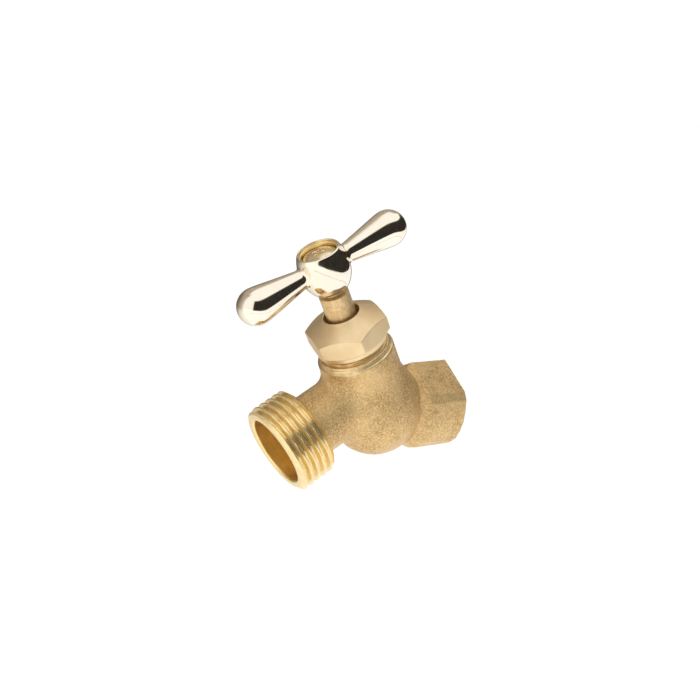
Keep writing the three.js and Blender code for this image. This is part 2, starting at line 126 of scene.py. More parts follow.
# Chamber and seat
CHAMBER_R = 8.8
CHAMBER_TOP = 12.6
FLOOR_AT = 2.4
SEAT_TOP = 4.2
SEAT_OUTER_R = 5.3
PORT_R = 4.2
PACKING_BORE_R = 7.5
CLEARANCE = 0.3  # round the stem's thread

# Packing nut
NUT_FLATS = 21.35
NUT_BOTTOM = 24.7
NUT_TOP = 35.0
NUT_HOLE_R = 5.25
NUT_CEILING = 31.3
NUT_RELIEF_R = 7.6
NUT_INSIDE_R = 10.2
NUT_CONE = 0.58  # drop of its top for each millimetre of radius
NUT_TURN = math.radians(-14)

# Stem
HOLDER_R = 5.85
HOLDER_FROM = 6.4
HOLDER_TO = 8.8
HOLDER_FLOOR = 7.6  # where the seat washer lies
STEM_PITCH = INCH / 10
STEM_CREST_R = 6.6
STEM_ROOT_R = 5.75
STEM_THREAD_FROM = 9.9
STEM_THREAD_TO = 18.3
SHANK_R = 4.3
SHANK_TOP = 42.2
TANG_R = 3.05
TANG_TOP = 51.6

# Handle and its screw
HANDLE_AT = 50.5
HANDLE_TURN = math.radians(86.5)
ARM_BALL_R = 5.22
ARM_BALL_AT = 22.1  # the ball's centre, measured from the hub's axis
ARM_TAPER = 0.205
ARM_SHOULDER = 1.5  # how gently the taper turns into the ball
ARM_FLARE = 0.00125  # how much the arm widens again towards the hub
HUB_R = 7.3
HUB_WIDEST = 49.9
HUB_REACH = (8.9, 10.4)  # half-heights of the ellipses below and above the widest ring
HUB_TOP = 55.8
HUB_BOTTOM = 43.2
RECESS_FLOOR = 53.0
RECESS_R = 5.15
RECESS_STEP_R = 5.5
RECESS_STEP_AT = 54.9
TANG_HOLE_R = 3.3
TANG_HOLE_TO = 52.1
HANDLE_CELL = 0.2
SCREW_HEAD_R = 4.9
SCREW_SEAT_GAP = 0.25
SCREW_DOME_R = 10.9
SCREW_DOME_HEIGHT = 2.0
SCREW_SHANK_R = 1.9
CROSS_TURN = 0.62  # the cross recess, in radians from the row's X
CROSS_REACH = 1.75
CROSS_HALF_WIDTH = 0.42
CROSS_FLOOR = 0.75
SCREW_CELL = 0.13


# ---- Frames -------------------------------------------------------------------------------------
def mount(name):
    return next(m for m in frame["record"]["mounts"] if m["name"] == name)


def frame_along(origin, axis):
    """A frame in millimetres whose Z runs along axis, with its X on the row's X."""
    z = Vector(axis).normalized()
    x = Vector((1, 0, 0))
    y = z.cross(x)
    m = Matrix((x, y, z)).transposed().to_4x4()
    m.translation = Vector(origin)
    return m


stem_joint = next(j for j in frame["joints"] if j["name"] == "handle_turn")
STEM_AXIS = Vector(stem_joint["axis"]).normalized()
STEM_FOOT = Vector(stem_joint["pos_m"]) / MM
OUTLET_AXIS = Vector(mount("outlet_face")["axis"]).normalized()
OUTLET_FOOT = STEM_FOOT + STEM_AXIS * OUTLET_UP_STEM

STEM = frame_along(STEM_FOOT, STEM_AXIS)
OUTLET = frame_along(OUTLET_FOOT, OUTLET_AXIS)
INLET = frame_along((0, 0, 0), mount("inlet_pipe")["axis"])


def in_frame(points, matrix):
    """Points of the row frame, in millimetres, as seen from a frame."""
    inverse = np.array(matrix.inverted())
    return points @ inverse[:3, :3].T + inverse[:3, 3]


# ---- Mesh tools ---------------------------------------------------------------------------------
def object_from(name, points, faces, matrix=None, sharp=None):
    """A smooth-shaded object from points in millimetres, in the frame that the matrix gives."""
    mesh = bpy.data.meshes.new(name)
    mesh.from_pydata((np.asarray(points, float) * MM).tolist(), [], np.asarray(faces).tolist())
    mesh.update()
    mesh.shade_smooth()
    if sharp is not None:
        mesh.set_sharp_from_angle(angle=math.radians(sharp))
    made = bpy.data.objects.new(name, mesh)
    bpy.context.scene.collection.objects.link(made)
    if matrix is not None:
        placed = matrix.copy()
        placed.translation = matrix.translation * MM
        made.matrix_world = placed
    return made


def eased(points, radius, steps=3):
    """A closed profile with each of its corners turned into a small arc."""
    points = [np.array(p, float) for p in points]
    out = []
    for before, here, after in zip(points[-1:] + points[:-1], points, points[1:] + points[:1]):
        if here[0] <= 0:
            out.append(here)
            continue
        a, b = before - here, after - here
        reach = min(radius, 0.4 * np.linalg.norm(a), 0.4 * np.linalg.norm(b))
        start = here + a / np.linalg.norm(a) * reach
        end = here + b / np.linalg.norm(b) * reach
        for i in range(steps + 1):
            t = i / steps
            out.append((1 - t) ** 2 * start + 2 * t * (1 - t) * here + t * t * end)
    return out


def split(points, most):
    """A closed profile with no step longer than most."""
    out = []
    for here, after in zip(points, points[1:] + points[:1]):
        count = max(1, int(np.ceil(np.linalg.norm(after - here) / most)))
        out += [here + (after - here) * i / count for i in range(count)]
    return out


def turned(name, profile, matrix, sides=160, ease=0.15, most=None, shaped=None, sharp=35):
    """A turned piece from a closed profile of (radius, height), wound anticlockwise.
    shaped(angle, radius, height) may change the radii, for a thread or a hexagon."""
    ring = eased(profile, ease)
    if most:
        ring = split(ring, most)
    ring = np.array(ring)
    angle = np.arange(sides) * 2 * math.pi / sides
    a, r = np.meshgrid(angle, ring[:, 0], indexing="ij")
    z = np.broadcast_to(ring[:, 1], r.shape)
    if shaped:
        r = shaped(a, r, z)
    points = np.stack([r * np.cos(a), r * np.sin(a), z], -1).reshape(-1, 3)
    n = len(ring)
    i, j = np.meshgrid(np.arange(sides), np.arange(n), indexing="ij")
    i2, j2 = (i + 1) % sides, (j + 1) % n
    faces = np.stack([i * n + j, i2 * n + j, i2 * n + j2, i * n + j2], -1).reshape(-1, 4)
    return object_from(name, points, faces, matrix, sharp)


def thread_height(angle, z, pitch, crest_width, flank):
    """How far up its thread a point is, from 0 at the root to 1 on the crest, with soft corners."""
    turn = z / pitch - angle / (2 * math.pi)
    off = np.abs(turn - np.round(turn)) * pitch
    up = np.clip((crest_width / 2 + flank - off) / flank, 0, 1)
    return up * up * (3 - 2 * up) * 0.35 + up * 0.65


def surface_net(field, low, high, cell):
    """Points and faces of the surface where a field is 0. The points then move on to it exactly."""
    low, high = np.array(low, float), np.array(high, float)
    axes = [np.arange(a, b + cell, cell) for a, b in zip(low, high)]
    shape = tuple(len(a) for a in axes)
    value = coarse_to_fine(field, axes, cell)
    inside = value < 0
    total = np.zeros(tuple(n - 1 for n in shape) + (3,))
    count = np.zeros(total.shape[:3])
    quads = []
    number = np.full(count.shape, -1)
    crossings = []
    for axis in range(3):
        a = [slice(None)] * 3
        b = [slice(None)] * 3
        a[axis], b[axis] = slice(None, -1), slice(1, None)
        edge = np.argwhere(inside[tuple(a)] != inside[tuple(b)])
        other = [k for k in range(3) if k != axis]
        limit = np.array(shape) - 1
        edge = edge[(edge[:, other] > 0).all(1) & (edge[:, other] < limit[other]).all(1)]
        ahead = edge.copy()
        ahead[:, axis] += 1
        va, vb = value[tuple(edge.T)], value[tuple(ahead.T)]
        point = low + edge * cell
        point[:, axis] += va / (va - vb) * cell
        ring = []
        for du, dv in ((0, 0), (1, 0), (1, 1), (0, 1)):
            near = edge.copy()
            near[:, other[0]] -= du
            near[:, other[1]] -= dv
            np.add.at(total, tuple(near.T), point)
            np.add.at(count, tuple(near.T), 1)
            ring.append(near)
        flip = (va < 0) == (axis == 1)
        crossings.append((ring, flip))
    used = count > 0
    number[used] = np.arange(used.sum())
    points = total[used] / count[used][:, None]
    for ring, flip in crossings:
        quad = np.stack([number[tuple(near.T)] for near in ring], -1)
        quad[flip] = quad[flip][:, ::-1]
        quads.append(quad)
    for _ in range(3):
        points -= step_to_surface(field, points)
    return points, np.concatenate(quads)


def coarse_to_fine(field, axes, cell):
    """A field on a grid, worked out only in the blocks that the surface may cross."""
    block = 6
    shape = tuple(len(a) for a in axes)
    centres = [a[0] + (np.arange(-(-len(a) // block)) + 0.5) * block * cell for a in axes]
    coarse = field(np.stack(np.meshgrid(*centres, indexing="ij"), -1).reshape(-1, 3))
    coarse = coarse.reshape([len(c) for c in centres])
    full = coarse.repeat(block, 0).repeat(block, 1).repeat(block, 2)
    full = full[: shape[0], : shape[1], : shape[2]].copy()
    near = np.argwhere(np.abs(full) < block * cell * 1.5)
    points = np.stack([axes[k][near[:, k]] for k in range(3)], -1)
    full[tuple(near.T)] = field(points)
    return full


def gradient(field, points, step=0.01):
    out = np.empty_like(points)
    for k in range(3):
        shift = np.zeros(3)
        shift[k] = step
        out[:, k] = (field(points + shift) - field(points - shift)) / (2 * step)
    return out


def step_to_surface(field, points):
    slope = gradient(field, points)
    step = (field(points) / np.maximum((slope**2).sum(1), 0.2))[:, None] * slope
    return np.clip(step, -0.2, 0.2)


def netted(name, field, low, high, cell, matrix=None, normals=False, sharp=None):
    """An object from a field, with the field's own normals where it has to shine."""
    points, faces = surface_net(field, low, high, cell)
    made = object_from(name, points, faces, matrix, sharp)
    if normals:
        slope = gradient(field, points, 0.02)
        slope /= np.linalg.norm(slope, axis=1)[:, None]
        made.data.normals_split_custom_set_from_vertices(slope.tolist())
    return made


# ---- Fields -------------------------------------------------------------------------------------
def blend_min(a, b, k):
    h = np.maximum(k - np.abs(a - b), 0) / k
    return np.minimum(a, b) - h * h * k / 4


def blend_max(a, b, k):
    return -blend_min(-a, -b, k)


def ball_like(p, radii):
    """About the distance to an ellipsoid at the origin."""
    radii = np.array(radii, float)
    k0 = np.linalg.norm(p / radii, axis=1)
    k1 = np.linalg.norm(p / radii**2, axis=1) + 1e-9
    return k0 * (k0 - 1) / k1


def rod(away, along, radius, start, end):
    """A round rod, for points so far away from its axis and so far along it."""
    return np.maximum(away - radius, np.abs(along - (start + end) / 2) - (end - start) / 2)


def outline_distance(u, v, outline):
    """The distance to a closed outline, less than 0 inside it."""
    best = np.full(u.shape, 1e9)
    sign = np.ones(u.shape)
    for (ax, ay), (bx, by) in zip(outline, outline[1:] + outline[:1]):
        ex, ey = bx - ax, by - ay
        wx, wy = u - ax, v - ay
        t = np.clip((wx * ex + wy * ey) / (ex * ex + ey * ey), 0, 1)
        best = np.minimum(best, (wx - ex * t) ** 2 + (wy - ey * t) ** 2)
        above, below = v >= ay, v < by
        left = ex * wy > ey * wx
        sign[(above & below & left) | (~above & ~below & ~left)] *= -1
    return sign * np.sqrt(best)


# ---- Casting ------------------------------------------------------------------------------------
def boss_outline(inset):
    """The inlet boss's section: a ridge on top, two flats, and round sides and bottom."""
    right = [
        (0.0, 13.55),
        (11.1, 7.0),
        (12.5, 4.8),
        (12.85, 1.6),
        (12.95, -0.4),
        (12.7, -3.0),
        (11.95, -5.8),
        (10.6, -8.6),
        (8.4, -10.8),
        (5.0, -12.3),
        (0.0, -13.0),
    ]
    left = [(-x, z) for x, z in right[-2:0:-1]]
    shrink = 1 - inset / 12.5
    return [(x * shrink, z * shrink) for x, z in right + left]


def boss_field(p):
    side = outline_distance(p[:, 0], p[:, 2], boss_outline(BOSS_EASE)) - BOSS_EASE
    shoulder = (side + 0.95 * (-HEX_LENGTH - p[:, 1])) * 0.72
    end = (side + 1.5 * (p[:, 1] + 0.75)) * 0.55
    field = blend_max(side, shoulder, BOSS_EDGE)
    field = blend_max(field, end, BOSS_EDGE)
    field = np.maximum(field, p[:, 1] - SPARE)
    return blend_max(field, -BOSS_BACK - p[:, 1], 0.5)


def lumps(p, size, seed):
    """Smooth random relief from -1 to 1, with lumps about size millimetres across."""
    cells = 64
    table = np.random.default_rng(seed).uniform(-1, 1, (cells, cells, cells))
    at = p / size
    base = np.floor(at).astype(int)
    t = at - base
    t = t * t * (3 - 2 * t)
    total = np.zeros(len(p))
    for corner in range(8):
        step = np.array([corner & 1, corner >> 1 & 1, corner >> 2])
        share = np.prod(np.where(step, t, 1 - t), axis=1)
        x, y, z = ((base + step) % cells).T
        total += share * table[x, y, z]
    return total


def casting_field(p):
    s = in_frame(p, STEM)
    o = in_frame(p, OUTLET)
    neck = rod(np.hypot(s[:, 0], s[:, 1]), s[:, 2], NECK_R, NECK_FROM, 24)
    bulb = ball_like(s - (0, 0, BULB_AT), (BULB_HALF_WIDTH, BULB_R, BULB_R))
    branch = rod(np.hypot(o[:, 0], o[:, 1]), o[:, 2], BRANCH_R, 0, BRANCH_LENGTH)
    waist = rod(np.hypot(p[:, 0], p[:, 2]), p[:, 1], WAIST_R, *WAIST_Y)
    field = blend_min(bulb, neck, NECK_BLEND)
    field = blend_min(field, branch, BRANCH_BLEND)
    field = blend_min(field, waist, WAIST_BLEND)
    field = blend_min(field, boss_field(p), BOSS_BLEND)
    fine, coarse = SAND_GRAINS
    field += SAND_DEPTH * (lumps(p, fine, 1) + 0.8 * lumps(p, coarse, 2))
    return np.maximum(field, s[:, 2] - NECK_TOP)


def cutter(name, profile, matrix, sides=96, shaped=None, most=None):
    """A closed solid to cut with. Its points on the axis are joined into one pole at each end."""
    made = turned(name, profile, matrix, sides, ease=0.05, shaped=shaped, most=most, sharp=None)
    mesh = bmesh.new()
    mesh.from_mesh(made.data)
    bmesh.ops.remove_doubles(mesh, verts=mesh.verts, dist=1e-7)
    loose = [edge for edge in mesh.edges if not edge.link_faces]
    bmesh.ops.delete(mesh, geom=loose, context="EDGES")
    bmesh.ops.delete(mesh, geom=[v for v in mesh.verts if not v.link_faces], context="VERTS")
    mesh.to_mesh(made.data)
    mesh.free()
    made.data.shade_flat()
    return made


def pipe_thread(angle, r, z):
    ridge = thread_height(angle, -z, PIPE_PITCH, 0.35, 0.62) * PIPE_THREAD_DEPTH
    threaded = PIPE_MOUTH_R - PIPE_THREAD_DEPTH + ridge + z * PIPE_TAPER
    return np.where(r > PIPE_MOUTH_R - 0.5, np.maximum(threaded, r - 0.9), r)


def cut(made, tool):
    cutting = made.modifiers.new("cut", "BOOLEAN")
    cutting.operation = "DIFFERENCE"
    cutting.solver = "MANIFOLD"
    cutting.material_mode = "TRANSFER"
    cutting.object = tool
    bpy.context.view_layer.update()
    graph = bpy.context.evaluated_depsgraph_get()
    mesh = bpy.data.meshes.new_from_object(made.evaluated_get(graph))
    made.modifiers.clear()
    made.data = mesh
    bpy.data.objects.remove(tool)


def inlet_cutters():
    """The inlet's thread, its mouth, its end face and the drilled end."""
    top = -PIPE_LENGTH + 0.2
    yield cutter(
        "pipe_cut",
        [(0, -PIPE_LENGTH), (PIPE_MOUTH_R, -PIPE_LENGTH), (PIPE_MOUTH_R, 2), (0, 2)],
        INLET,
        shaped=pipe_thread,
        most=0.16,
    )
    yield cutter(
        "mouth_cut",
        [(0, -1.2), (PIPE_MOUTH_R - 0.8, -1.2), (PIPE_MOUTH_R + 0.8, SPARE), (0, SPARE)],
        INLET,
    )
    yield cutter("end_cut", [(0, 0), (30, 0), (30, 8), (0, 8)], INLET)
    yield cutter(
        "drill_cut",
        [
            (0, -PIPE_LENGTH - DRILL_POINT),
            (INLET_PORT_R, -PIPE_LENGTH - DRILL_POINT),
            (DRILL_R, top),
            (0, top),
        ],
        INLET,
    )


def chamber_cutters():
    """The chamber round the seat with the bore up the neck, the seat's port, and the outlet's port."""
    bore_r = STEM_CREST_R + CLEARANCE
    yield cutter(
        "chamber_cut",
        [
            (0, SEAT_TOP),
            (SEAT_OUTER_R - 0.4, SEAT_TOP),
            (SEAT_OUTER_R, FLOOR_AT),
            (CHAMBER_R, FLOOR_AT),
            (CHAMBER_R, CHAMBER_TOP),
            (bore_r, CHAMBER_TOP + 2),
            (bore_r, 24.0),
            (0, 24.0),
        ],
        STEM,
    )
    yield cutter("port_cut", [(0, -8), (PORT_R, -8), (PORT_R, 5), (0, 5)], STEM)
    yield cutter("outlet_cut", [(0, 6.1), (OUTLET_PORT_R, 6.1), (OUTLET_PORT_R, 30), (0, 30)], OUTLET)


def build_casting():
    low = (-14.6, -62.0, -16.0)
    high = (14.6, 1.2, 28.0)
    body = netted("body_casting", casting_field, low, high, CASTING_CELL)
    body.data.materials.append(cast_brass())
    for tool in [*inlet_cutters(), *chamber_cutters()]:
        tool.data.materials.append(turned_brass())
        cut(body, tool)
    body.data.set_sharp_from_angle(angle=math.radians(40))
    return body


# ---- Machined ends of the casting ---------------------------------------------------------------
def build_neck_end():
    profile = [
        (PACKING_BORE_R, TURNED_NECK_FROM),
        (NECK_R - 0.5, TURNED_NECK_FROM),
        (NECK_R - 0.02, NECK_TOP - 0.05),
        (NECK_R - 0.08, NECK_TOP + 0.35),
        (BEVEL_R + 0.1, BEVEL_FROM - 0.15),
        (BEVEL_R, BEVEL_FROM),
        (BEVEL_TOP_R, BEVEL_TO),
        (BONNET_CREST_R, BEVEL_TO + 0.2),
        (BONNET_CREST_R, BONNET_TOP - 1.2),
        (BONNET_ROOT_R - 0.3, BONNET_TOP),
        (PACKING_BORE_R, BONNET_TOP),
    ]

    def shaped(angle, r, z):
        ridge = thread_height(angle, z, BONNET_PITCH, 0.16, 0.5)
        thread = BONNET_ROOT_R + ridge * (BONNET_CREST_R - BONNET_ROOT_R)
        scored = r - SCORE_DEPTH * thread_height(angle, z, SCORE_PITCH, SCORE_WIDTH, SCORE_WIDTH)
        threaded = (z > BEVEL_TO + 0.05) & (r > 8.6)
        bevelled = (z > BEVEL_FROM + 0.05) & (z <= BEVEL_TO + 0.05) & (r > 9)
        return np.where(threaded, np.minimum(r, thread), np.where(bevelled, scored, r))

    return turned("neck_end", profile, STEM, 240, most=0.10, shaped=shaped)


def build_outlet_end():
    profile = [
        (OUTLET_PORT_R, TURNED_OUTLET_FROM),
        (BRANCH_R - 0.4, TURNED_OUTLET_FROM),
        (BRANCH_R - 0.1, HOSE_BACK),
        (HOSE_ROOT_R - 0.3, HOSE_BACK + 0.5),
        (HOSE_CREST_R, HOSE_BACK + 1.7),
        (HOSE_CREST_R, OUTLET_END - 0.75),
        (HOSE_ROOT_R + 0.35, OUTLET_END),
        (HOSE_BORE_R + 0.45, OUTLET_END),
        (HOSE_BORE_R, OUTLET_END - 0.5),
        (HOSE_BORE_R, HOSE_BORE_FLOOR),
        (OUTLET_PORT_R, HOSE_BORE_FLOOR - 1.8),
    ]

    def shaped(angle, r, z):
        ridge = thread_height(angle, z - 0.4, HOSE_PITCH, 0.50, 0.60)
        thread = HOSE_ROOT_R + ridge * (HOSE_CREST_R - HOSE_ROOT_R)
        return np.where(r > HOSE_ROOT_R - 0.4, np.minimum(r, thread), r)

    made = turned("outlet_end", profile, OUTLET, 288, most=0.13, shaped=shaped)
    made.data.materials.append(turned_brass())
    made.data.materials.append(bored_brass())
    for face in made.data.polygons:
        x, y, z = face.center / MM
        if math.hypot(x, y) < HOSE_BORE_R + 0.1 and z < OUTLET_END - 0.4:
            face.material_index = 1
    return made


# ---- Packing nut --------------------------------------------------------------------------------
def build_nut():
    corner = NUT_FLATS / 2 / math.cos(math.pi / 6)
    blank = corner + 0.35

    def cone(r):
        return NUT_TOP - NUT_CONE * (r - NUT_HOLE_R)

    profile = [
        (NUT_INSIDE_R, NUT_BOTTOM + 0.3),
        (NUT_FLATS / 2 - 0.25, NUT_BOTTOM),
        (NUT_FLATS / 2 - 0.15, NUT_BOTTOM + 1.35),
        (blank, NUT_BOTTOM + 2.8),
        (blank, cone(blank)),
        (NUT_HOLE_R + 0.75, cone(NUT_HOLE_R + 0.75)),
        (NUT_HOLE_R + 0.2, NUT_TOP - 0.05),
        (NUT_HOLE_R, NUT_TOP - 0.3),
        (NUT_HOLE_R, NUT_CEILING),
        (NUT_RELIEF_R, NUT_CEILING),
        (NUT_RELIEF_R, NUT_CEILING - 0.9),
        (NUT_INSIDE_R, NUT_CEILING - 1.3),
    ]

    def shaped(angle, r, z):
        around = (angle - NUT_TURN + math.pi / 6) % (math.pi / 3) - math.pi / 6
        hexagon = NUT_FLATS / 2 / np.cos(math.pi / 6 - np.abs(around))
        hexagon = blend_min(hexagon, np.full_like(hexagon, corner - 0.05), 0.16)
        return np.where(r > NUT_INSIDE_R, blend_min(r, hexagon, 0.14), r)

    return turned("packing_nut_fine", profile, STEM, 576, ease=0.12, most=0.16, shaped=shaped, sharp=60)


# ---- Stem ---------------------------------------------------------------------------------------
def build_stem():
    profile = [
        (0, HOLDER_FLOOR),
        (HOLDER_R - 0.45, HOLDER_FLOOR),
        (HOLDER_R - 0.3, HOLDER_FROM),
        (HOLDER_R, HOLDER_FROM),
        (HOLDER_R, HOLDER_TO),
        (HOLDER_R - 0.8, HOLDER_TO + 0.7),
        (STEM_ROOT_R - 0.2, STEM_THREAD_FROM),
        (STEM_CREST_R, STEM_THREAD_FROM + 1),
        (STEM_CREST_R, STEM_THREAD_TO - 1),
        (STEM_ROOT_R - 0.2, STEM_THREAD_TO),
        (SHANK_R, STEM_THREAD_TO + 0.2),
        (SHANK_R, SHANK_TOP - 0.4),
        (TANG_R, SHANK_TOP),
        (TANG_R, TANG_TOP),
        (0, TANG_TOP),
    ]

    def shaped(angle, r, z):
        ridge = thread_height(angle, z, STEM_PITCH, 0.8, 0.24)
        thread = STEM_ROOT_R + ridge * (STEM_CREST_R - STEM_ROOT_R)
        threaded = (z > STEM_THREAD_FROM - 0.1) & (z < STEM_THREAD_TO + 0.1) & (r > 5)
        return np.where(threaded, np.minimum(r, thread), r)

    return turned("stem_fine", profile, STEM, 128, ease=0.1, most=0.2, shaped=shaped)


# ---- Handle -------------------------------------------------------------------------------------
def handle_field(p):
    away = np.hypot(p[:, 0], p[:, 1])
    z = p[:, 2]
    ca, sa = math.cos(HANDLE_TURN), math.sin(HANDLE_TURN)
    along = np.abs(p[:, 0] * ca + p[:, 1] * sa)
    across = np.hypot(p[:, 1] * ca - p[:, 0] * sa, z - HANDLE_AT)
    short = np.maximum(ARM_BALL_AT - along, 0)
    narrowing = ARM_TAPER * (np.hypot(short, ARM_SHOULDER) - ARM_SHOULDER) - ARM_FLARE * short**2
    taper = (across - ARM_BALL_R + narrowing) / 1.02
    ball = np.hypot(along - ARM_BALL_AT, across) - ARM_BALL_R
    arm = np.where(along > ARM_BALL_AT, ball, taper)
    up = z - HUB_WIDEST
    tall = np.where(up < 0, *HUB_REACH)
    flat = np.stack([away, np.zeros_like(away), up * 10 / tall], -1)
    hub = ball_like(flat, (HUB_R, 10.0, 10.0))
    field = blend_min(hub, arm, 1.0)
    field = blend_max(field, HUB_BOTTOM - z, 0.6)
    field = blend_max(field, z - HUB_TOP, 0.35)
    cup = blend_max(away - RECESS_R, RECESS_FLOOR - z, 0.3)
    step = blend_max(away - RECESS_STEP_R, RECESS_STEP_AT - z, 0.2)
    field = blend_max(field, -blend_min(cup, step, 0.15), 0.3)
    return np.maximum(field, -np.maximum(away - TANG_HOLE_R, z - TANG_HOLE_TO))


def build_handle():
    reach_y = 27.8
    reach_x = abs(reach_y * math.cos(HANDLE_TURN)) + 8.2
    low = (-reach_x, -reach_y, HUB_BOTTOM - 0.8)
    high = (reach_x, reach_y, HUB_TOP + 0.8)
    handle = netted("tee_handle_fine", handle_field, low, high, HANDLE_CELL, STEM, normals=True)
    handle.data.materials.append(polished_plate())
    handle.data.materials.append(turned_brass())
    for face in handle.data.polygons:
        x, y, z = face.center / MM
        if math.hypot(x, y) < RECESS_R + 0.42 and z > RECESS_FLOOR - 0.5:
            face.material_index = 1
    return handle


# ---- Handle screw -------------------------------------------------------------------------------
def screw_field(p):
    away = np.hypot(p[:, 0], p[:, 1])
    z = p[:, 2] - (RECESS_FLOOR + SCREW_SEAT_GAP)
    dome = np.sqrt(away**2 + (z + (SCREW_DOME_R - SCREW_DOME_HEIGHT)) ** 2) - SCREW_DOME_R
    head = blend_max(blend_max(dome, away - SCREW_HEAD_R, 0.35), -z, 0.1)
    ca, sa = math.cos(CROSS_TURN), math.sin(CROSS_TURN)
    u = np.abs(p[:, 0] * ca + p[:, 1] * sa)
    v = np.abs(p[:, 1] * ca - p[:, 0] * sa)
    wings = [np.maximum(a - CROSS_REACH, b - CROSS_HALF_WIDTH) for a, b in ((u, v), (v, u))]
    wing = blend_min(np.minimum(*wings), np.hypot(u, v) - 0.75, 0.3)
    slant = (wing + (SCREW_DOME_HEIGHT - z) * 0.25) * 0.97
    cross = blend_max(slant, CROSS_FLOOR - z, 0.15)
    head = blend_max(head, -cross, 0.16)
    return np.minimum(head, rod(away, z, SCREW_SHANK_R, -7.0, 0.2))


def build_handle_screw():
    reach = SCREW_HEAD_R + 0.2
    low = (-reach, -reach, 45.8)
    high = (reach, reach, RECESS_FLOOR + 2.5)
    return netted("handle_screw_fine", screw_field, low, high, SCREW_CELL, STEM, sharp=45)


# ---- Materials ----------------------------------------------------------------------------------
class Surface:
    """A node material whose patterns are read in the piece's own frame, in millimetres."""

    def __init__(self, name, metallic=1.0, roughness=0.3):
        self.material = bpy.data.materials.new(name)
        self.material.use_nodes = True
        self.tree = self.material.node_tree
        self.shader = self.tree.nodes["Principled BSDF"]
        self.shader.inputs["Metallic"].default_value = metallic
        self.shader.inputs["Roughness"].default_value = roughness
        coordinates = self.tree.nodes.new("ShaderNodeTexCoord")
        scale = self.tree.nodes.new("ShaderNodeVectorMath")
        scale.operation = "SCALE"
        scale.inputs["Scale"].default_value = 1 / MM
        self.join(coordinates.outputs["Object"], scale.inputs[0])
        self.place = scale.outputs["Vector"]

    def join(self, out, into):
        self.tree.links.new(out, into)
        return out

    def noise(self, size, detail=3.0, rough=0.55, place=None):
        """Noise whose lumps are about size millimetres across."""
        node = self.tree.nodes.new("ShaderNodeTexNoise")
        node.inputs["Scale"].default_value = 1 / size
        node.inputs["Detail"].default_value = detail
        node.inputs["Roughness"].default_value = rough
        self.join(place or self.place, node.inputs["Vector"])
        return node.outputs["Fac"]

    def rings(self, size):
        """Fine lines round the piece's own axis, as a lathe tool leaves."""
        parts = self.tree.nodes.new("ShaderNodeSeparateXYZ")
        self.join(self.place, parts.inputs[0])
        radius = self.tree.nodes.new("ShaderNodeVectorMath")
        radius.operation = "LENGTH"
        flat = self.tree.nodes.new("ShaderNodeCombineXYZ")
        self.join(parts.outputs["X"], flat.inputs["X"])
        self.join(parts.outputs["Y"], flat.inputs["Y"])
        self.join(flat.outputs[0], radius.inputs[0])
        lines = self.tree.nodes.new("ShaderNodeCombineXYZ")
        self.join(radius.outputs["Value"], lines.inputs["X"])
        self.join(parts.outputs["Z"], lines.inputs["Z"])
        return self.noise(size, 2.0, 0.6, lines.outputs[0])

    def spread(self, fac, low, high, start=0.3, end=0.7):
        """A factor moved from start..end to low..high."""
        node = self.tree.nodes.new("ShaderNodeMapRange")
        node.inputs["From Min"].default_value = start
        node.inputs["From Max"].default_value = end
        node.inputs["To Min"].default_value = low
        node.inputs["To Max"].default_value = high
        self.join(fac, node.inputs["Value"])
        return node.outputs["Result"]

    def between(self, fac, a, b):
        """A colour from a to b as fac goes from 0 to 1. Either may be a colour or a socket."""
        node = self.tree.nodes.new("ShaderNodeMix")
        node.data_type = "RGBA"
        self.join(fac, node.inputs["Factor"])
        for value, socket in ((a, node.inputs[6]), (b, node.inputs[7])):
            if isinstance(value, tuple):
                socket.default_value = (*value, 1)
            else:
                self.join(value, socket)
        return node.outputs[2]

    def bump(self, height, depth, strength=1.0, under=None):
        """Relief whose height is depth millimetres."""
        node = self.tree.nodes.new("ShaderNodeBump")
        node.inputs["Strength"].default_value = strength
        node.inputs["Distance"].default_value = depth * MM
        self.join(height, node.inputs["Height"])
        if under is not None:
            self.join(under, node.inputs["Normal"])
        return node.outputs["Normal"]

    def finish(self, colour=None, roughness=None, normal=None):
        for value, name in ((colour, "Base Color"), (roughness, "Roughness"), (normal, "Normal")):
            if value is not None:
                self.join(value, self.shader.inputs[name])
        return self.material


made_materials = {}


def once(make):
    """Each material is made once, however many pieces wear it."""

    def get():
        if make.__name__ not in made_materials:
            made_materials[make.__name__] = make()
        return made_materials[make.__name__]

    return get


@once
def cast_brass():
    """Sand-cast and tumbled: a stippled grain with small pits, burnished smoother in patches."""
    s = Surface("cast_brass", metallic=0.70)
    grain = s.noise(0.36, 3.0, 0.6)
    speckle = s.noise(0.62, 3.0, 0.65)
    tone = s.noise(7.0, 2.0)
    colour = s.between(s.spread(speckle, 0, 1, 0.38, 0.62), (0.53, 0.335, 0.125), (0.86, 0.605, 0.295))
    pits = s.spread(grain, 0, 0.8, 0.53, 0.62)
    colour = s.between(pits, colour, (0.33, 0.19, 0.06))
    worn = s.between(s.spread(tone, 0, 0.45, 0.4, 0.65), colour, (0.88, 0.62, 0.295))
    rough = s.spread(tone, 0.44, 0.30, 0.35, 0.65)
    normal = s.bump(s.noise(1.1, 2.0), 0.10, 0.6)
    normal = s.bump(grain, 0.26, 1.0, normal)
    return s.finish(worn, rough, normal)


@once
def turned_brass():
    """Cut on a lathe: bright, with faint lines round the axis and some tarnish."""
    s = Surface("turned_brass", metallic=0.86)
    lines = s.rings(0.11)
    tarnish = s.noise(2.6, 4.0, 0.6)
    colour = s.between(s.spread(tarnish, 0, 1, 0.3, 0.75), (0.95, 0.77, 0.43), (0.84, 0.635, 0.29))
    rough = s.spread(lines, 0.18, 0.34)
    return s.finish(colour, rough, s.bump(lines, 0.02, 0.6))


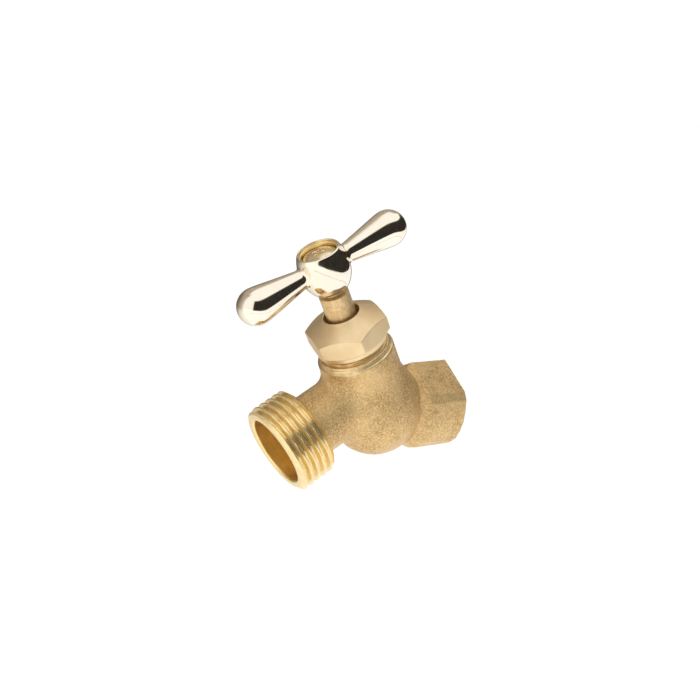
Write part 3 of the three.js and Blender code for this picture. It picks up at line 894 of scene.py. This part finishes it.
@once
def bored_brass():
    """Inside a bore: a coarser tool's lines, and a deeper gold than outside."""
    s = Surface("bored_brass", metallic=0.95)
    lines = s.rings(0.16)
    tarnish = s.noise(3.2, 3.0, 0.6)
    colour = s.between(s.spread(tarnish, 0, 1, 0.35, 0.7), (0.96, 0.72, 0.29), (0.86, 0.58, 0.18))
    return s.finish(colour, s.spread(lines, 0.24, 0.40), s.bump(lines, 0.03, 0.7))


@once
def scored_brass():
    """The neck's collar and thread: turned, then dulled by tumbling."""
    s = Surface("scored_brass", metallic=0.9)
    lines = s.rings(0.16)
    cloud = s.noise(1.8, 4.0, 0.6)
    colour = s.between(s.spread(cloud, 0, 1, 0.35, 0.65), (0.90, 0.69, 0.39), (0.72, 0.51, 0.23))
    colour = s.between(s.spread(lines, 0, 0.6, 0.52, 0.66), colour, (0.42, 0.27, 0.10))
    return s.finish(colour, s.spread(cloud, 0.26, 0.40), s.bump(lines, 0.05, 0.8))


@once
def satin_brass():
    """The packing nut: milled and lightly tumbled."""
    s = Surface("satin_brass", metallic=0.86)
    lines = s.rings(0.12)
    cloud = s.noise(4.5, 3.0)
    nicks = s.noise(0.5, 4.0, 0.7)
    colour = s.between(s.spread(cloud, 0, 1), (0.90, 0.70, 0.43), (0.83, 0.62, 0.345))
    colour = s.between(s.spread(nicks, 0, 0.35, 0.6, 0.75), colour, (0.58, 0.40, 0.19))
    rough = s.spread(s.noise(0.9, 3.0), 0.34, 0.44)
    return s.finish(colour, rough, s.bump(lines, 0.004, 0.4))


@once
def stem_brass():
    """Drawn bar: duller than the turned ends, with fine lines round it."""
    s = Surface("stem_brass", metallic=0.85)
    lines = s.rings(0.2)
    cloud = s.noise(1.2, 4.0, 0.7)
    colour = s.between(s.spread(cloud, 0, 1, 0.36, 0.64), (0.86, 0.63, 0.34), (0.62, 0.43, 0.20))
    rough = s.spread(lines, 0.32, 0.48)
    return s.finish(colour, rough, s.bump(lines, 0.02, 0.6, s.bump(cloud, 0.06, 0.6)))


@once
def polished_plate():
    """Buffed and plated a pale champagne gold, with slight waves from the buffing."""
    s = Surface("polished_plate", roughness=0.05)
    haze = s.noise(2.5, 4.0, 0.6)
    tint = s.noise(9.0, 2.0)
    colour = s.between(s.spread(tint, 0, 1), (0.93, 0.865, 0.745), (0.90, 0.81, 0.655))
    rough = s.spread(haze, 0.045, 0.12)
    return s.finish(colour, rough, s.bump(s.noise(2.2, 2.0), 0.010, 0.35))


@once
def bright_screw():
    s = Surface("bright_screw")
    haze = s.noise(0.7, 3.0)
    stain = s.noise(1.9, 3.0, 0.6)
    colour = s.between(s.spread(stain, 0, 1, 0.45, 0.7), (0.93, 0.80, 0.54), (0.70, 0.50, 0.25))
    return s.finish(colour, s.spread(haze, 0.12, 0.26), s.bump(haze, 0.01, 0.4))


@once
def black_rubber():
    s = Surface("black_rubber", metallic=0.0, roughness=0.6)
    grain = s.noise(0.3, 3.0)
    colour = s.between(grain, (0.018, 0.018, 0.018), (0.045, 0.043, 0.040))
    return s.finish(colour, s.spread(grain, 0.5, 0.75), s.bump(grain, 0.02, 0.5))


@once
def graphite_yarn():
    s = Surface("graphite_yarn", metallic=0.15, roughness=0.5)
    grain = s.noise(0.35, 4.0)
    colour = s.between(grain, (0.05, 0.05, 0.052), (0.13, 0.13, 0.135))
    return s.finish(colour, s.spread(grain, 0.4, 0.6), s.bump(grain, 0.05, 0.8))


@once
def studio_paper():
    s = Surface("studio_paper", metallic=0.0, roughness=0.75)
    tooth = s.noise(1.2, 3.0)
    colour = s.between(tooth, (0.93, 0.93, 0.93), (0.95, 0.95, 0.95))
    return s.finish(colour, None, s.bump(tooth, 0.02, 0.2))


# ---- Pieces on their bodies ---------------------------------------------------------------------
def wear(made, material):
    made.data.materials.clear()
    made.data.materials.append(material)
    return made


def add(made, body, slot, *nodes, material=None):
    if material is not None:
        wear(made, material)
    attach(made, body)
    if nodes:
        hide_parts(*nodes)


def build_object():
    add(build_casting(), "valve", "cast_brass", "valve_body")
    add(build_neck_end(), "valve", "cast_brass", material=scored_brass())
    add(build_outlet_end(), "valve", "cast_brass")
    add(build_nut(), "valve", "turned_brass", "packing_nut", material=satin_brass())
    add(build_stem(), "handle_and_stem", "turned_brass", "stem", material=stem_brass())
    add(build_handle(), "handle_and_stem", "plated_handle", "tee_handle")
    add(build_handle_screw(), "handle_and_stem", "screw_brass", "handle_screw", material=bright_screw())
    for node, material in (
        ("packing_washer", turned_brass()),
        ("packing_gland", turned_brass()),
        ("packing_ring", graphite_yarn()),
        ("seat_washer", black_rubber()),
        ("seat_washer_screw", turned_brass()),
    ):
        wear(frame["nodes"][node], material)


# ---- Studio, in metres where nothing else is said ------------------------------------------------
FLOOR_DROP = 0.070  # the part hangs by its inlet, this far above the floor
FLOOR_SIZE = 16.0
WORLD_STRENGTH = 1.08
CAMERA_AZIMUTH = math.radians(53.18)
CAMERA_ELEVATION = math.radians(16.54)
CAMERA_ROLL = math.radians(7.77)
CAMERA_DISTANCE = 0.28302
CAMERA_TARGET = Vector((0, -0.03764, 0.0190))
CAMERA_LENS = 50.83


def build_floor():
    z = (cad_box[0].z - FLOOR_DROP) / MM
    half = FLOOR_SIZE / 2 / MM
    corners = [(-half, -half, z), (half, -half, z), (half, half, z), (-half, half, z)]
    floor = wear(object_from("floor", corners, [(0, 1, 2, 3)]), studio_paper())
    return floor


def fading(s, out, start, end):
    """A factor that eases from 0 where out is start to 1 where out is end."""
    node = s.tree.nodes.new("ShaderNodeMapRange")
    node.interpolation_type = "SMOOTHSTEP"
    node.inputs["From Min"].default_value = start
    node.inputs["From Max"].default_value = end
    s.join(out, node.inputs["Value"])
    return node.outputs["Result"]


def reach_along(s, direction):
    """A point's place along a direction, in millimetres times the direction's length."""
    node = s.tree.nodes.new("ShaderNodeVectorMath")
    node.operation = "DOT_PRODUCT"
    node.inputs[1].default_value = direction
    s.join(s.place, node.inputs[0])
    return node.outputs["Value"]


def along_way(s, azimuth):
    """How many millimetres a point lies from the middle, towards an azimuth."""
    a = math.radians(azimuth)
    return reach_along(s, (math.sin(a), -math.cos(a), 0))


def height(s):
    node = s.tree.nodes.new("ShaderNodeSeparateXYZ")
    s.join(s.place, node.inputs[0])
    return node.outputs["Z"]


def build_panel(name, rows, azimuths, tint, rise=0.0):
    """A curved cloth panel round the part. It shows in shiny pieces, but not to the camera.

    rows are (distance from the middle, height) pairs in millimetres, and azimuths are in degrees
    from -Y towards +X. rise lifts the lower edge, in millimetres for each degree past 80.
    """
    steps = 60
    middle_y = -30
    points, faces = [], []
    for i in range(steps + 1):
        azimuth = azimuths[0] + (azimuths[1] - azimuths[0]) * i / steps
        a = math.radians(azimuth)
        heights = [z for _, z in rows]
        heights[0] += rise * max(0, azimuth - 80)
        points += [(r * math.sin(a), -r * math.cos(a) + middle_y, z) for (r, _), z in zip(rows, heights)]
    for i in range(steps):
        for j in range(len(rows) - 1):
            k = i * len(rows) + j
            faces.append((k, k + 1, k + 1 + len(rows), k + len(rows)))
    panel = object_from(name, points, faces)
    s = Surface(name + "_cloth", metallic=0.0, roughness=0.9)
    weave = s.noise(1.0, 2.0)
    s.finish(tint(s, s.between(weave, (0.90, 0.88, 0.84), (0.94, 0.92, 0.88))))
    wear(panel, s.material)
    panel.visible_camera = False
    panel.visible_diffuse = False
    panel.visible_shadow = False


def flag_tint(s, pale):
    """Black cloth, fading out along a slanted line at its top and at its left end."""
    black = (0.014, 0.012, 0.009)
    slanted = reach_along(s, (-0.42, -0.154, 1.0))
    top = s.between(fading(s, slanted, 420, 590), black, pale)
    return s.between(fading(s, along_way(s, 132), -60, 25), pale, top)


def back_tint(s, pale):
    """Grey paper straight behind the part, paler to its sides and upwards."""
    grey = (0.13, 0.112, 0.092)
    tan = (0.36, 0.31, 0.255)
    near = s.between(fading(s, along_way(s, 240), 40, 420), tan, grey)
    low = s.between(fading(s, height(s), 120, 480), near, tan)
    high = s.between(fading(s, height(s), 700, 1320), low, pale)
    return s.between(fading(s, along_way(s, 262), -60, 330), pale, high)


def edge_tint(s, pale):
    """The dark edge of a table. It has no pale part."""
    return s.between(fading(s, height(s), -500, 500), (0.10, 0.08, 0.06), (0.12, 0.10, 0.08))


def build_panels():
    floor = (cad_box[0].z - FLOOR_DROP) / MM + 3
    build_panel("flag", [(620, -70), (620, 900)], (36, 208), flag_tint, rise=0.9)
    build_panel("table_edge", [(262, floor), (270, floor)], (20, 215), edge_tint)
    build_panel("back_card", [(60, floor), (560, floor), (640, 80), (640, 1320)], (208, 345), back_tint)


def area_light(name, place, target, size, watts):
    """A soft lamp that shiny pieces don't show, so its edges draw no hard shapes on them."""
    data = bpy.data.lights.new(name, "AREA")
    data.shape = "RECTANGLE"
    data.size, data.size_y = size
    data.energy = watts
    lamp = bpy.data.objects.new(name, data)
    lamp.location = place
    lamp.rotation_euler = (Vector(target) - Vector(place)).to_track_quat("-Z", "Y").to_euler()
    lamp.visible_glossy = False
    bpy.context.scene.collection.objects.link(lamp)


def build_lights():
    world = bpy.data.worlds.new("studio")
    world.use_nodes = True
    background = world.node_tree.nodes["Background"]
    background.inputs["Color"].default_value = (1.0, 1.0, 1.0, 1)
    background.inputs["Strength"].default_value = WORLD_STRENGTH
    bpy.context.scene.world = world
    middle = (0, -0.03, 0.02)
    area_light("top_softbox", (-0.25, -0.55, 0.85), middle, (1.3, 1.3), 3.0)
    area_light("front_fill", (0.85, -0.45, 0.35), middle, (1.0, 1.0), 1.6)


def build_camera():
    back = Vector(
        (
            math.sin(CAMERA_AZIMUTH) * math.cos(CAMERA_ELEVATION),
            -math.cos(CAMERA_AZIMUTH) * math.cos(CAMERA_ELEVATION),
            math.sin(CAMERA_ELEVATION),
        )
    )
    data = bpy.data.cameras.new("camera")
    data.lens = CAMERA_LENS
    data.sensor_width = 36.0
    data.clip_start, data.clip_end = 0.01, 20.0
    camera = bpy.data.objects.new("camera", data)
    camera.location = CAMERA_TARGET + back * CAMERA_DISTANCE
    level = (-back).to_track_quat("-Z", "Y").to_matrix().to_4x4()
    rolled = level @ Matrix.Rotation(CAMERA_ROLL, 4, "Z")
    camera.rotation_euler = rolled.to_euler()
    bpy.context.scene.collection.objects.link(camera)
    bpy.context.scene.camera = camera


build_camera()
build_object()
build_floor()
build_panels()
build_lights()
bpy.context.scene.view_settings.view_transform = "Standard"
